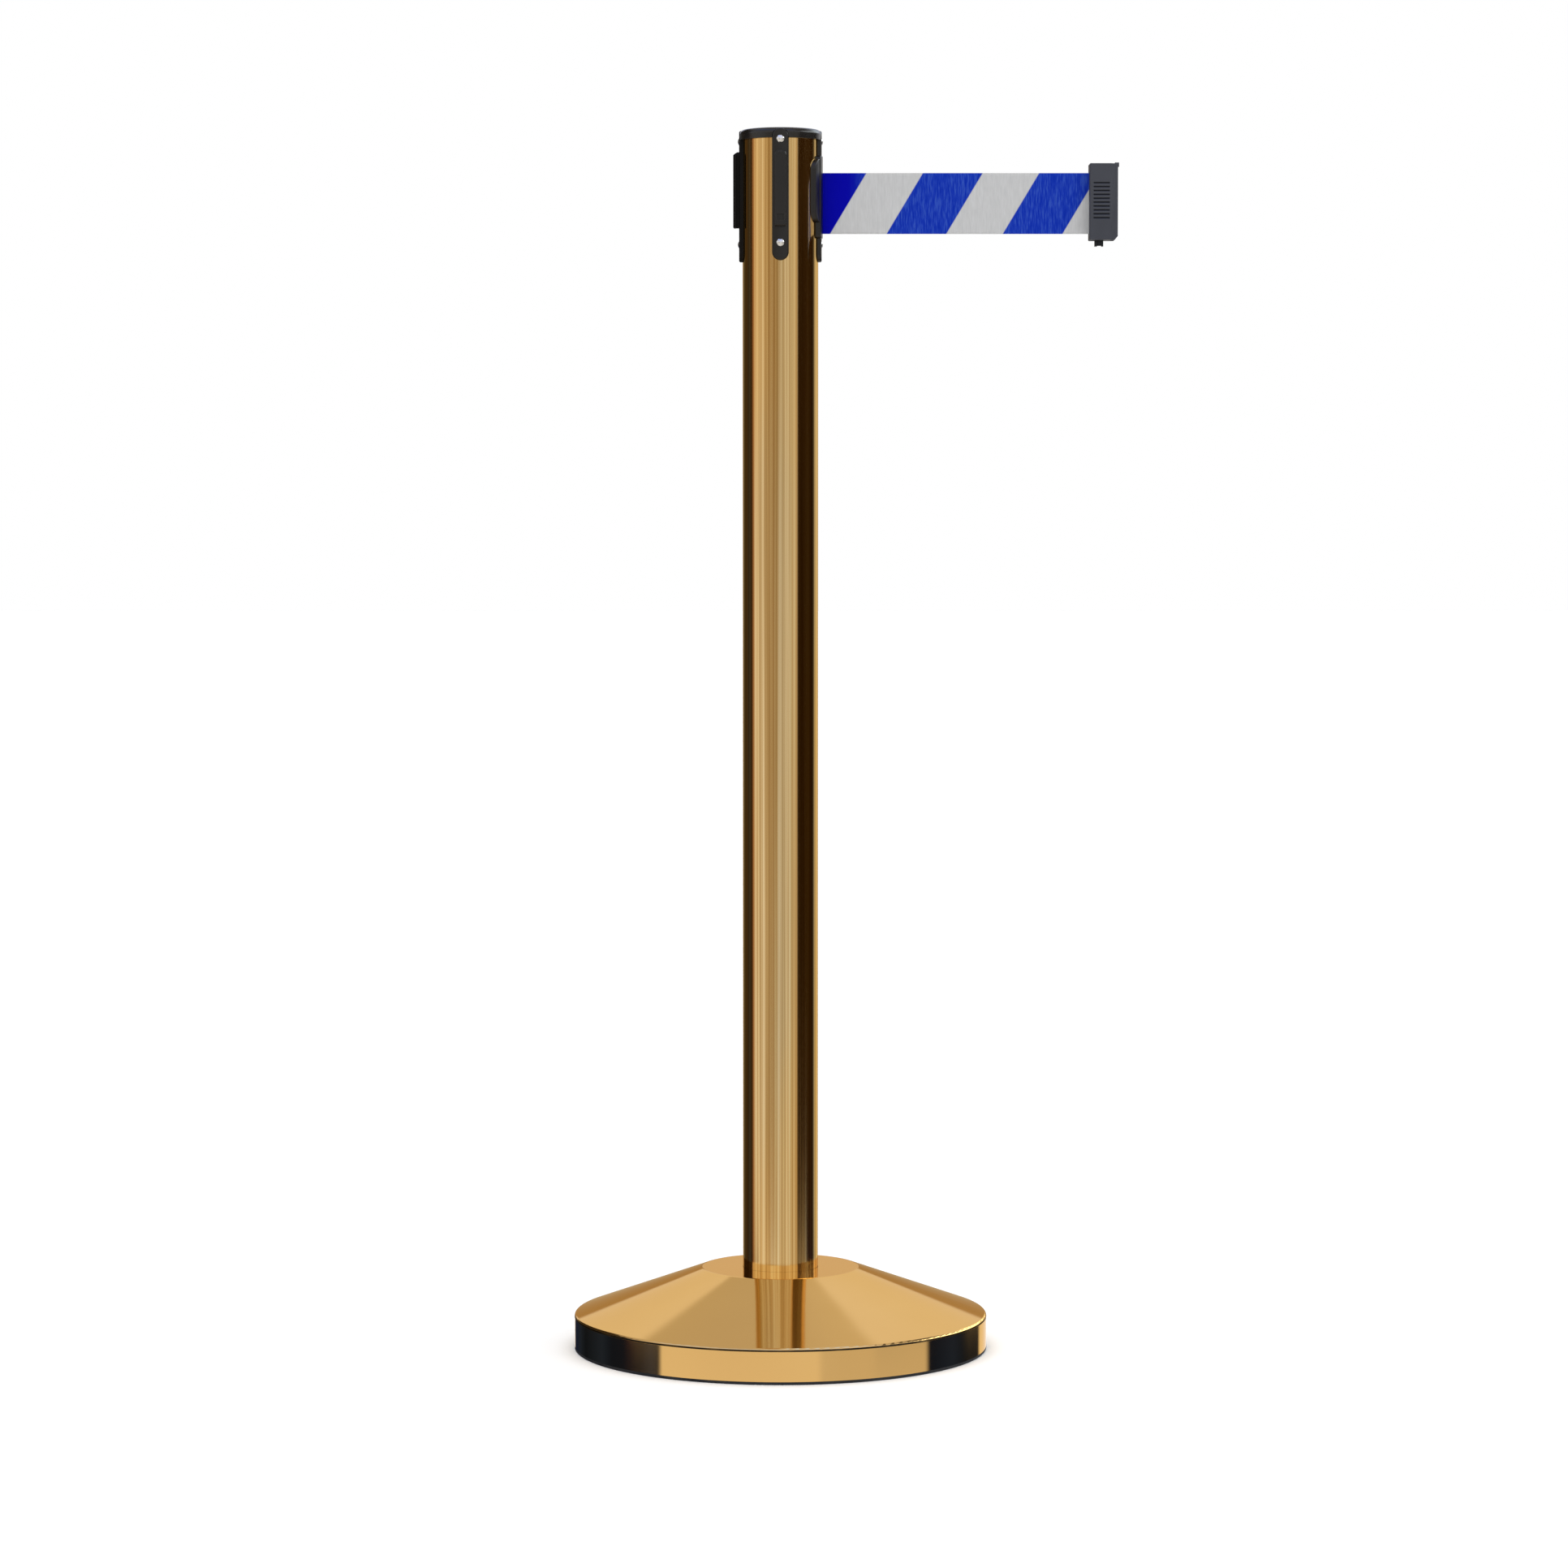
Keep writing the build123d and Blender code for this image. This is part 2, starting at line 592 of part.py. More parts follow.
# ---- belt end clip ----
def clip_body():
    """Both shells as one solid, before they are split in the middle plane."""
    half, slim = CLIP_HALF, CLIP_HALF - 1.8
    outline = make_face(Polyline(
        (CLIP_IN, -half), (CLIP_BEVEL, -half), (279.8, -slim), (CLIP_OUT, -slim),
        (CLIP_OUT, slim), (279.8, slim), (CLIP_BEVEL, half), (CLIP_IN, half), close=True,
    ))
    inner = outline.vertices().filter_by_position(Axis.X, CLIP_IN - 0.1, CLIP_IN + 0.1)
    outline = fillet(inner, 1.2)
    solid = extrude(Pos(0, 0, CLIP_LOW) * outline, CLIP_HIGH - CLIP_LOW)
    solid = chamfer(solid.faces().sort_by(Axis.Z)[-1].edges(), 0.6)
    solid = chamfer(solid.faces().sort_by(Axis.Z)[0].edges(), 0.6)
    corner = Plane.XZ * make_face(Polyline(
        (CLIP_OUT + 1.0, CLIP_LOW - 0.5), (CLIP_OUT + 1.0, CLIP_LOW + 4.3),
        (CLIP_OUT - 0.1, CLIP_LOW + 3.2), (CLIP_OUT - 3.1, CLIP_LOW - 0.5), close=True,
    ))
    solid -= extrude(corner, 20.0, both=True)
    return solid + block((280.2, 283.5), (-slim + 1.0, slim - 1.0), (997.4, 1000.9))


def clip_cuts(solid):
    """Rail channel, belt pocket, lever and spring cavities, and grip grooves."""
    solid -= block((CHANNEL_IN, CHANNEL_LIP), (-CHANNEL_HALF, CHANNEL_HALF), (930.0, CHANNEL_TOP))
    solid -= block(
        (CHANNEL_LIP - 0.1, 290.0), (-CHANNEL_NECK_HALF, CHANNEL_NECK_HALF), (930.0, CHANNEL_TOP),
    )
    solid -= block((CLIP_IN - 1.0, BELT_PIN_X), (-0.6, 0.6), (BELT_LOW - 0.5, BELT_HIGH + 0.5))
    solid -= rod_z(2.4, BELT_PIN_X, 0, BELT_LOW - 0.5, BELT_HIGH + 0.5)
    solid -= rod_z(BELT_PIN_R, BELT_PIN_X, 0, CLIP_LOW + 3.6, BELT_HIGH + 2.5)
    side = (-LEVER_HALF - 0.3, LEVER_HALF + 0.3)
    solid -= block((268.4, 275.2), side, (938.0, 983.0))
    solid -= block((259.9, 275.2), side, (937.0, 940.0))
    solid -= block((259.9, 271.3), side, (930.0, 937.5))
    solid -= block((275.0, CHANNEL_IN + 0.1), side, (938.4, 947.0))
    solid -= rod_y(LATCH_PIN_R, LEVER_X, LEVER_Z, -7.5, 7.5)
    solid -= rod_y(2.7, LEVER_X, LEVER_Z, LEVER_HALF, 6.6)
    solid -= block((270.2, 275.0), (LEVER_HALF, 6.6), (967.0, 984.0))
    for x, z in CLIP_SCREWS:
        solid -= rod_y(1.1, x, z, -7.0, 20.0)
        solid -= rod_y(2.1, x, z, 8.2, 20.0)
    for groove in range(GROOVES):
        top = GROOVE_TOP - groove * GROOVE_PITCH
        cut = Plane.YZ * make_face(Polyline(
            (CLIP_HALF + 1.0, top), (CLIP_HALF - 0.9, top), (CLIP_HALF - 0.9, top - 0.5),
            (CLIP_HALF, top - 2.0), (CLIP_HALF + 1.0, top - 2.0), close=True,
        ))
        bar = Pos(GROOVE_IN, 0, 0) * extrude(cut, GROOVE_LENGTH)
        solid -= bar
        solid -= mirror(bar, Plane.XZ)
    return solid


def clip_front_shell():
    """Front half of the clip."""
    return clip_cuts(clip_body()) & block((250.0, 290.0), (-20.0, 0.0), (900.0, 1100.0))


def clip_rear_shell():
    """Rear half of the clip, which the screws' heads sink into."""
    return clip_cuts(clip_body()) & block((250.0, 290.0), (0.0, 20.0), (900.0, 1100.0))


def clip_screws():
    screws = []
    for x, z in CLIP_SCREWS:
        screw = rod_y(1.1, x, z, -6.8, 8.2) + rod_y(2.0, x, z, 8.2, 9.7)
        screw -= block((x - 3.0, x + 3.0), (9.1, 10.0), (z - 0.25, z + 0.25))
        screws.append(screw)
    return screws


def belt_pin():
    return rod_z(BELT_PIN_R, BELT_PIN_X, 0, CLIP_LOW + 3.8, BELT_HIGH + 2.4)


def latch_pin():
    return rod_y(LATCH_PIN_R, LEVER_X, LEVER_Z, -7.4, 7.4)


def latch_spring():
    """Torsion spring on the pin: three turns, a long leg down beside the lever and a short one up."""
    wire, coil_r, pitch, turns = 0.25, 1.9, 0.6, 3
    coil = Rot(-90, 0, 0) * Helix(pitch, pitch * turns, coil_r)
    coil = Pos(LEVER_X, LEVER_HALF + 0.9, LEVER_Z) * coil
    upper = Line(coil @ 0 - (coil % 0) * 4.0, coil @ 0)
    lower = Line(coil @ 1, coil @ 1 + (coil % 1) * 9.0)
    path = Wire([upper, coil, lower])
    section = Plane(origin=path @ 0, z_dir=path % 0) * Circle(wire)
    return sweep(section, path=path)


# ---- release lever ----
def release_lever():
    """Swinging pawl: its nose locks in a rail's notch and its grooved tab stands out under the clip."""
    left, right = LEVER_X - 1.6, LEVER_X + 1.6
    outline = make_face(Polyline(
        (left, 979.6), (left, 939.0), (263.6, 939.0), (263.6, 931.3), (270.8, 931.3),
        (270.8, 937.4), (right, 939.4), (279.9, 942.8), (279.9, 943.8),
        (right, 943.8), (right, 979.6), close=True,
    ))
    solid = extrude(Plane.XZ * outline, LEVER_HALF, both=True)
    solid += rod_y(2.2, LEVER_X, LEVER_Z, -LEVER_HALF, LEVER_HALF)
    solid -= rod_y(1.3, LEVER_X, LEVER_Z, -10.0, 10.0)
    solid -= block((265.6, 269.2), (-5.0, 5.0), (930.0, TAB_FOOT))
    for start in TAB_GROOVES:
        for face in (-LEVER_HALF, LEVER_HALF):
            across = (face - TAB_GROOVE_DEPTH, face + TAB_GROOVE_DEPTH)
            solid -= block((start, start + TAB_GROOVE_W), across, (930.0, 936.0))
    return solid


# ---- all pieces ----
# The back, left and front receivers are the same piece turned about the post; the two brake shoes
# and their pads are each other's half turn.
PIECES = {
    "floor_ring": floor_ring,
    "base_weight": base_weight,
    "base_cover": base_cover,
    "base_bolt": base_bolt,
    "flat_washer": flat_washer,
    "lock_washer": lock_washer,
    "tube_plug": tube_plug,
    "post_tube": post_tube,
    "top_cap": top_cap,
    "belt_outlet": belt_outlet,
    "receiver_rivets": receiver_rivets,
    "cassette_housing": cassette_housing,
    "cassette_lid": cassette_lid,
    "lid_screws": lid_screws,
    "spindle": spindle,
    "spindle_washer": spindle_washer,
    "spindle_nut": spindle_nut,
    "thrust_washer": thrust_washer,
    "power_spring": power_spring,
    "spool_core": spool_core,
    "spring_cup": spring_cup,
    "spring_cup_lid": spring_cup_lid,
    "cup_screws": cup_screws,
    "lower_bush": lower_bush,
    "upper_bush": upper_bush,
    "belt_anchor_rod": belt_anchor_rod,
    "belt_coil": belt_coil,
    "brake_pins": brake_pins,
    "belt_webbing": belt_webbing,
    "clip_front_shell": clip_front_shell,
    "clip_rear_shell": clip_rear_shell,
    "clip_screws": clip_screws,
    "belt_pin": belt_pin,
    "latch_pin": latch_pin,
    "latch_spring": latch_spring,
    "release_lever": release_lever,
}
RECEIVER_SIDES = {"receiver_back": 90, "receiver_left": 180, "receiver_front": 270}
BRAKE_SIDES = {"a": 0, "b": 180}

os.makedirs("parts", exist_ok=True)
made = {name: make() for name, make in PIECES.items()}
for name, turn in RECEIVER_SIDES.items():
    made[name] = Rot(0, 0, turn) * receiver()
for letter, turn in BRAKE_SIDES.items():
    made["brake_shoe_" + letter] = brake_shoe(turn)
    made["brake_pad_" + letter] = brake_pad(turn)
for name, solid in made.items():
    whole = Compound(children=solid) if isinstance(solid, list) else solid
    export_step(whole, f"parts/{name}.step")
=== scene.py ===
# Looks of a retractable belt stanchion: camera, studio light, finishes, and the webbing remade in
# finer detail. Lengths are in metres, in the frame of the CAD model: the floor is z = 0, the post
# stands on x = y = 0, the belt runs along +X and the front is -Y.
import json
import math

import bmesh
import bpy
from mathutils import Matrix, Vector


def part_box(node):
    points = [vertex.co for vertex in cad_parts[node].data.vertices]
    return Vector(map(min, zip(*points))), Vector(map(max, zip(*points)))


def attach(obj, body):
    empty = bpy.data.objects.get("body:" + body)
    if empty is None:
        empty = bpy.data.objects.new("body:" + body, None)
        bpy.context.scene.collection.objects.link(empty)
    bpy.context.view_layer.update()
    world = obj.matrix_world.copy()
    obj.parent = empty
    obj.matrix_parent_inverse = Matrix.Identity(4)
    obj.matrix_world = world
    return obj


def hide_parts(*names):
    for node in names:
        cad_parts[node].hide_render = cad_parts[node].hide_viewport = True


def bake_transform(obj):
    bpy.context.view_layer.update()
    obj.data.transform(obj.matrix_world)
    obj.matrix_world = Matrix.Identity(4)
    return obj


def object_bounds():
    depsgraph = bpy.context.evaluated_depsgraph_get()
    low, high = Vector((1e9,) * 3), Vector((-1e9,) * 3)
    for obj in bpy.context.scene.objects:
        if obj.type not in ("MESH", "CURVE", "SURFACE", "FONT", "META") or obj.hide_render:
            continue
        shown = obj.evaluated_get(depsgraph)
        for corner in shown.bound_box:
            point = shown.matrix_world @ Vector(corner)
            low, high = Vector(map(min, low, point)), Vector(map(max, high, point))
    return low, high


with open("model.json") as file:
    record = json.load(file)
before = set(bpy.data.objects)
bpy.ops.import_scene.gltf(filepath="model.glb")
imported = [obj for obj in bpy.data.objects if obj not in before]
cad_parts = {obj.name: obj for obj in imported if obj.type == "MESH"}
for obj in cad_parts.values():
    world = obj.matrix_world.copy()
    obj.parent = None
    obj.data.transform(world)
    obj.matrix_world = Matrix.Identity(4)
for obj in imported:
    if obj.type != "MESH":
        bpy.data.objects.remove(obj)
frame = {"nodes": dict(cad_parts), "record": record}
cad_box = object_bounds()

MM = 0.001

# ---- camera ----
LENS_MM = 104.594
SENSOR_MM = 36.0
CAMERA_DISTANCE = 3.844
CAMERA_HEIGHT = 0.7054
CAMERA_RIGHT = 0.0030
CAMERA_TILT_DEG = 3.365

# ---- studio ----
FLOOR_SIZE = 60.0
FLOOR_DROP = 0.0001
FLOOR_LEVEL = 0.93
# The studio's light round the post, as (degrees from the front towards +X, level or colour).
WARM_WALL = (0.55, 0.42, 0.24)
UMBER = (0.085, 0.060, 0.034)
DARK_BROWN = (0.034, 0.017, 0.003)
COOL_DARK = (0.007, 0.014, 0.052)
COOL_DIM = (0.016, 0.033, 0.120)
ROUND_POST = (
    (-180, WARM_WALL), (-166, WARM_WALL), (-158, 0.25), (-146, 0.09), (-130, UMBER), (-112, 0.05),
    (-97, UMBER), (-93, (0.46, 0.24, 0.14)), (-88, (0.72, 0.60, 0.48)), (-84, (0.80, 0.72, 0.62)),
    (-74, (0.92, 0.89, 0.82)), (-60, 0.87), (-50, (0.80, 0.76, 0.70)), (-40, (0.62, 0.54, 0.40)),
    (-27, (0.41, 0.30, 0.17)), (-15, (0.52, 0.46, 0.34)), (-3, 0.66), (10, (0.80, 0.87, 0.97)),
    (22, (0.80, 0.83, 0.86)), (35, (0.60, 0.55, 0.42)), (48, (0.69, 0.61, 0.48)), (52, (0.60, 0.53, 0.42)),
    (56, DARK_BROWN), (114, DARK_BROWN), (121, 0.06),
    (131, 0.62), (150, 0.90), (160, 0.80), (166, WARM_WALL), (180, WARM_WALL),
)
# What the upright skirt mirrors, from below the horizon.
ROUND_SKIRT = (
    (-180, 1.15), (-171, 1.15), (-167, COOL_DARK), (-150, COOL_DIM), (-140, COOL_DARK),
    (-118, COOL_DIM), (-108, COOL_DARK), (-84, COOL_DARK), (-76, COOL_DIM), (-71, COOL_DARK),
    (-69, 1.00), (20, 1.00), (24, 0.82), (88, 0.81), (91, COOL_DARK), (112, COOL_DIM),
    (126, COOL_DARK), (145, COOL_DARK), (149, 1.15), (180, 1.15),
)
# The rings' edges, in degrees above the horizon.
SKIRT_TO_POST = (-10.0, -9.5)
POST_TO_ABOVE = (5.5, 8.0)
# Above: bright walls, and a duller ceiling that hangs lower on the -X side.
WALL = (1.03, 1.08, 1.30)
CEILING_LEFT = (0.71, 0.715, 0.76)
CEILING_RIGHT = (0.81, 0.81, 0.83)
CEILING_SIDES = (-0.02, 0.14)
CEILING_EDGE = (0.645, 0.680)
CEILING_LEAN = 0.25
WARM_TURN = (163, 167, 176, 178)
WARM_RISE = (-1.0, -0.9, 0.215, 0.255)
# Bright and dark patches above the rings, as (colour, both sides alike, window of the turn in
# degrees, window of the sine of the elevation). Later ones lie over earlier ones.
PATCHES = (
    ((1.5, 1.8, 2.1), False, (132, 136, 154, 158), (0.26, 0.30, 0.66, 0.70)),
    ((0.05, 0.04, 0.03), False, (-160, -156, -100, -94), (0.09, 0.12, 0.60, 0.66)),
    ((0.20, 0.20, 0.20), False, (53, 57, 112, 118), (0.58, 0.61, 0.79, 0.82)),
    ((0.82, 1.12, 2.20), False, (-110, -100, 46, 53), (0.68, 0.72, 0.88, 0.92)),
    ((1.10, 1.35, 1.60), False, (-96, -90, 53, 57), (0.12, 0.14, 0.19, 0.22)),
    ((3.20, 3.60, 3.90), False, (62, 70, 138, 144), (0.17, 0.22, 0.54, 0.58)),
    (DARK_BROWN, False, (53, 57, 122, 128), (0.09, 0.11, 0.175, 0.20)),
    ((0.89, 0.79, 0.61), True, (177, 178, 200, 201), (0.10, 0.12, 0.21, 0.23)),
    (WARM_WALL, True, WARM_TURN, WARM_RISE),
)
DIFFUSE_LEVEL = 0.50
# Lights for the plastics and the belt, as (name, x, y, height above the post, (width, height), watts).
SOFT_LIGHTS = (
    ("front_soft", -1.6, -3.2, 1.2, (2.4, 2.4), 15.0),
    ("right_soft", 2.6, -2.4, 0.6, (1.8, 2.4), 10.0),
)
AIM_RIGHT = 0.1
AIM_HEIGHT_SHARE = 0.6
OVERHEAD_STRENGTH = 1.9
OVERHEAD_SPREAD_DEG = 70.0

# ---- base ----
# A dark line painted under the rim as a reflection: its heights, and its colour.
RIM_LINE = (26.9 * MM, 27.3 * MM, 28.3 * MM, 28.7 * MM)
RIM_PAINTED_REFLECTION = (0.020, 0.015, 0.010)

# ---- head and clip ----
WARM_TINT = (1.0, 0.92, 0.82)
# The clip's grip grooves, in mm: across from the clip's inner face, up from the floor, and in depth.
GRIP_ACROSS = (3.1, 3.2, 17.0, 17.1)
GRIP_HEIGHT = (952.0, 953.0, 985.0, 986.0)
GROOVE_DEPTH = (0.12, 0.75)
GROOVE_SHADE = (0.002, 0.002, 0.003)
# The receiver on the left is the same moulding, in a darker, less glossy copy of its finish as painted shade.
SHADED_COPIES = {"receiver_left": "painted_shade_plastic"}

# ---- belt ----
BELT_THICK = 0.5 * MM
BELT_EDGE_THICK = 0.62 * MM
STRIPE_PERIOD = 97.5 * MM
STRIPE_BLUE_SHARE = 0.508
STRIPE_LEAN = 0.60
STRIPE_START = 56.3 * MM
STRIPE_BLUR = 0.006
BLUE_PAINTED_SHADE = (0.0010, 0.0010, 0.330)
BLUE_DARK = (0.003, 0.024, 0.350)
BLUE = (0.009, 0.036, 0.385)
BLUE_LIGHT = (0.026, 0.070, 0.420)
GREY = (0.515, 0.513, 0.508)
# The blue darkens near the outlet as painted shade of the post, from and to these distances past it.
POST_SHADE_FROM = 45.0 * MM
POST_SHADE_TO = 20.0 * MM
RIB_PITCH = 0.75 * MM
WARP_PITCH = 1.1 * MM
SELVEDGE = 1.6 * MM
SELVEDGE_TIP = 0.35
# The webbing's way: round the outlet's lip, out to the clip, and round the clip's pin.
LIP_X = 32.6 * MM
LIP_BEND = 4.0 * MM
LOOP_INNER = 1.55 * MM
LOOP_LEAD = 5.0 * MM
LOOP_SWING_DEG = 154.0
SWAY = 0.25 * MM
SWAY_WAVES = 3.1
RUN_STEPS = 140
COIL_PITCH = 0.5277 * MM
COIL_CORE_GAP = 1.0 * MM
COIL_STEPS_A_TURN = 44


# ---- node helpers ----
def add_node(tree, kind, inputs=None, **settings):
    """A shader node with its settings, its inputs set to values or joined to other sockets."""
    made = tree.nodes.new(kind)
    for name, value in settings.items():
        setattr(made, name, value)
    for name, value in (inputs or {}).items():
        socket = made.inputs[name]
        if isinstance(value, bpy.types.NodeSocket):
            tree.links.new(value, socket)
        else:
            socket.default_value = value
    return made


def maths(tree, operation, first, second=0.0, third=0.0):
    """The result of a maths node."""
    made = add_node(tree, "ShaderNodeMath", {0: first, 1: second, 2: third}, operation=operation)
    return made.outputs[0]


def ramp(tree, factor, stops, interpolation="LINEAR"):
    """Colour ramp from (position, colour) stops."""
    made = add_node(tree, "ShaderNodeValToRGB", {"Fac": factor})
    band = made.color_ramp
    band.interpolation = interpolation
    while len(band.elements) > 1:
        band.elements.remove(band.elements[-1])
    band.elements[0].position, band.elements[0].color = stops[0]
    for position, colour in stops[1:]:
        band.elements.new(position).color = colour
    return made.outputs["Color"]


def between(tree, value, low, high, to_low=0.0, to_high=1.0, smooth=True):
    """A value's place between low and high, eased, as a number from to_low to to_high."""
    made = add_node(
        tree, "ShaderNodeMapRange",
        {"Value": value, "From Min": low, "From Max": high, "To Min": to_low, "To Max": to_high},
        interpolation_type="SMOOTHSTEP" if smooth else "LINEAR",
    )
    return made.outputs["Result"]


def mix(tree, factor, first, second):
    """Two colours mixed."""
    made = add_node(tree, "ShaderNodeMix", data_type="RGBA")
    for socket, value in zip((made.inputs[0], made.inputs[6], made.inputs[7]), (factor, first, second)):
        if isinstance(value, bpy.types.NodeSocket):
            tree.links.new(value, socket)
        else:
            socket.default_value = value
    return made.outputs[2]


def opaque(colour):
    return (*colour, 1.0)


def grey(level):
    return (level, level, level, 1.0)


# ---- camera and studio ----
def make_camera():
    data = bpy.data.cameras.new("camera")
    data.sensor_width = SENSOR_MM
    data.lens = LENS_MM
    camera = bpy.data.objects.new("camera", data)
    bpy.context.scene.collection.objects.link(camera)
    camera.location = (CAMERA_RIGHT, -CAMERA_DISTANCE, CAMERA_HEIGHT)
    camera.rotation_euler = (math.radians(90.0 - CAMERA_TILT_DEG), 0.0, 0.0)
    bpy.context.scene.camera = camera


def ring_of_light(tree, azimuth, levels):
    """Light that changes with the direction round the post."""
    stops = []
    for degrees, level in levels:
        colour = opaque(level) if isinstance(level, tuple) else grey(level)
        stops.append(((degrees + 180.0) / 360.0, colour))
    return ramp(tree, azimuth, stops)


def window(tree, value, edges):
    """1 between the two middle edges, easing to 0 at the outer ones."""
    rise = between(tree, value, edges[0], edges[1])
    fall = between(tree, value, edges[2], edges[3])
    return maths(tree, "MULTIPLY", rise, maths(tree, "SUBTRACT", 1.0, fall))


def make_world():
    """White to the camera, an even grey to dull surfaces, and to glossy ones the rings and patches."""
    world = bpy.data.worlds.new("studio")
    bpy.context.scene.world = world
    world.use_nodes = True
    tree = world.node_tree
    tree.nodes.clear()
    outward = add_node(tree, "ShaderNodeTexCoord").outputs["Generated"]
    way = add_node(tree, "ShaderNodeSeparateXYZ", {0: outward})
    forward = maths(tree, "MULTIPLY", way.outputs["Y"], -1.0)
    turn = maths(tree, "ARCTAN2", way.outputs["X"], forward)
    azimuth = maths(tree, "MULTIPLY_ADD", turn, 1.0 / (2.0 * math.pi), 0.5)
    height = maths(tree, "MULTIPLY", maths(tree, "ARCSINE", way.outputs["Z"]), 180.0 / math.pi)
    post = ring_of_light(tree, azimuth, ROUND_POST)
    skirt = ring_of_light(tree, azimuth, ROUND_SKIRT)
    rise = maths(tree, "MULTIPLY_ADD", way.outputs["X"], -CEILING_LEAN, way.outputs["Z"])
    side = between(tree, way.outputs["X"], *CEILING_SIDES)
    ceiling = mix(tree, side, opaque(CEILING_LEFT), opaque(CEILING_RIGHT))
    above = mix(tree, between(tree, rise, *CEILING_EDGE), opaque(WALL), ceiling)
    degrees_round = maths(tree, "MULTIPLY", turn, 180.0 / math.pi)
    either_side = maths(tree, "ABSOLUTE", degrees_round)
    for colour, both_sides, turn_edges, rise_edges in PATCHES:
        patch = window(tree, either_side if both_sides else degrees_round, turn_edges)
        patch = maths(tree, "MULTIPLY", patch, window(tree, way.outputs["Z"], rise_edges))
        above = mix(tree, patch, above, opaque(colour))
    level = mix(tree, between(tree, height, *SKIRT_TO_POST), skirt, post)
    level = mix(tree, between(tree, height, *POST_TO_ABOVE), level, above)
    path = add_node(tree, "ShaderNodeLightPath")
    level = mix(tree, path.outputs["Is Diffuse Ray"], level, grey(DIFFUSE_LEVEL))
    colour = mix(tree, path.outputs["Is Camera Ray"], level, grey(1.0))
    background = add_node(tree, "ShaderNodeBackground", {"Color": colour, "Strength": 1.0})
    add_node(tree, "ShaderNodeOutputWorld", {"Surface": background.outputs[0]})


def make_area(name, place, aim, size, watts):
    data = bpy.data.lights.new(name, "AREA")
    data.shape = "RECTANGLE"
    data.size, data.size_y = size
    data.energy = watts
    light = bpy.data.objects.new(name, data)
    bpy.context.scene.collection.objects.link(light)
    light.location = place
    light.rotation_euler = (Vector(aim) - Vector(place)).to_track_quat("-Z", "Y").to_euler()
    light.visible_glossy = False


def make_lights():
    """Soft light from the front and sides for the plastics and the belt, and from overhead for the floor."""
    top = cad_box[1].z
    for name, x, y, above_post, size, watts in SOFT_LIGHTS:
        make_area(name, (x, y, top + above_post), (AIM_RIGHT, 0.0, AIM_HEIGHT_SHARE * top), size, watts)
    overhead = bpy.data.lights.new("overhead", "SUN")
    overhead.energy = OVERHEAD_STRENGTH
    overhead.angle = math.radians(OVERHEAD_SPREAD_DEG)
    sun = bpy.data.objects.new("overhead", overhead)
    bpy.context.scene.collection.objects.link(sun)
    sun.visible_glossy = False


def make_floor():
    mesh = bpy.data.meshes.new("floor")
    half = FLOOR_SIZE / 2
    corners = [(-half, -half, 0.0), (half, -half, 0.0), (half, half, 0.0), (-half, half, 0.0)]
    mesh.from_pydata(corners, [], [(0, 1, 2, 3)])
    floor = bpy.data.objects.new("floor", mesh)
    bpy.context.scene.collection.objects.link(floor)
    floor.location.z = cad_box[0].z - FLOOR_DROP
    floor.visible_glossy = False
    paint = bpy.data.materials.new("floor_paint")
    paint.use_nodes = True
    shader = paint.node_tree.nodes["Principled BSDF"]
    shader.inputs["Base Color"].default_value = grey(FLOOR_LEVEL)
    shader.inputs["Roughness"].default_value = 0.9
    shader.inputs["Specular IOR Level"].default_value = 0.1
    mesh.materials.append(paint)


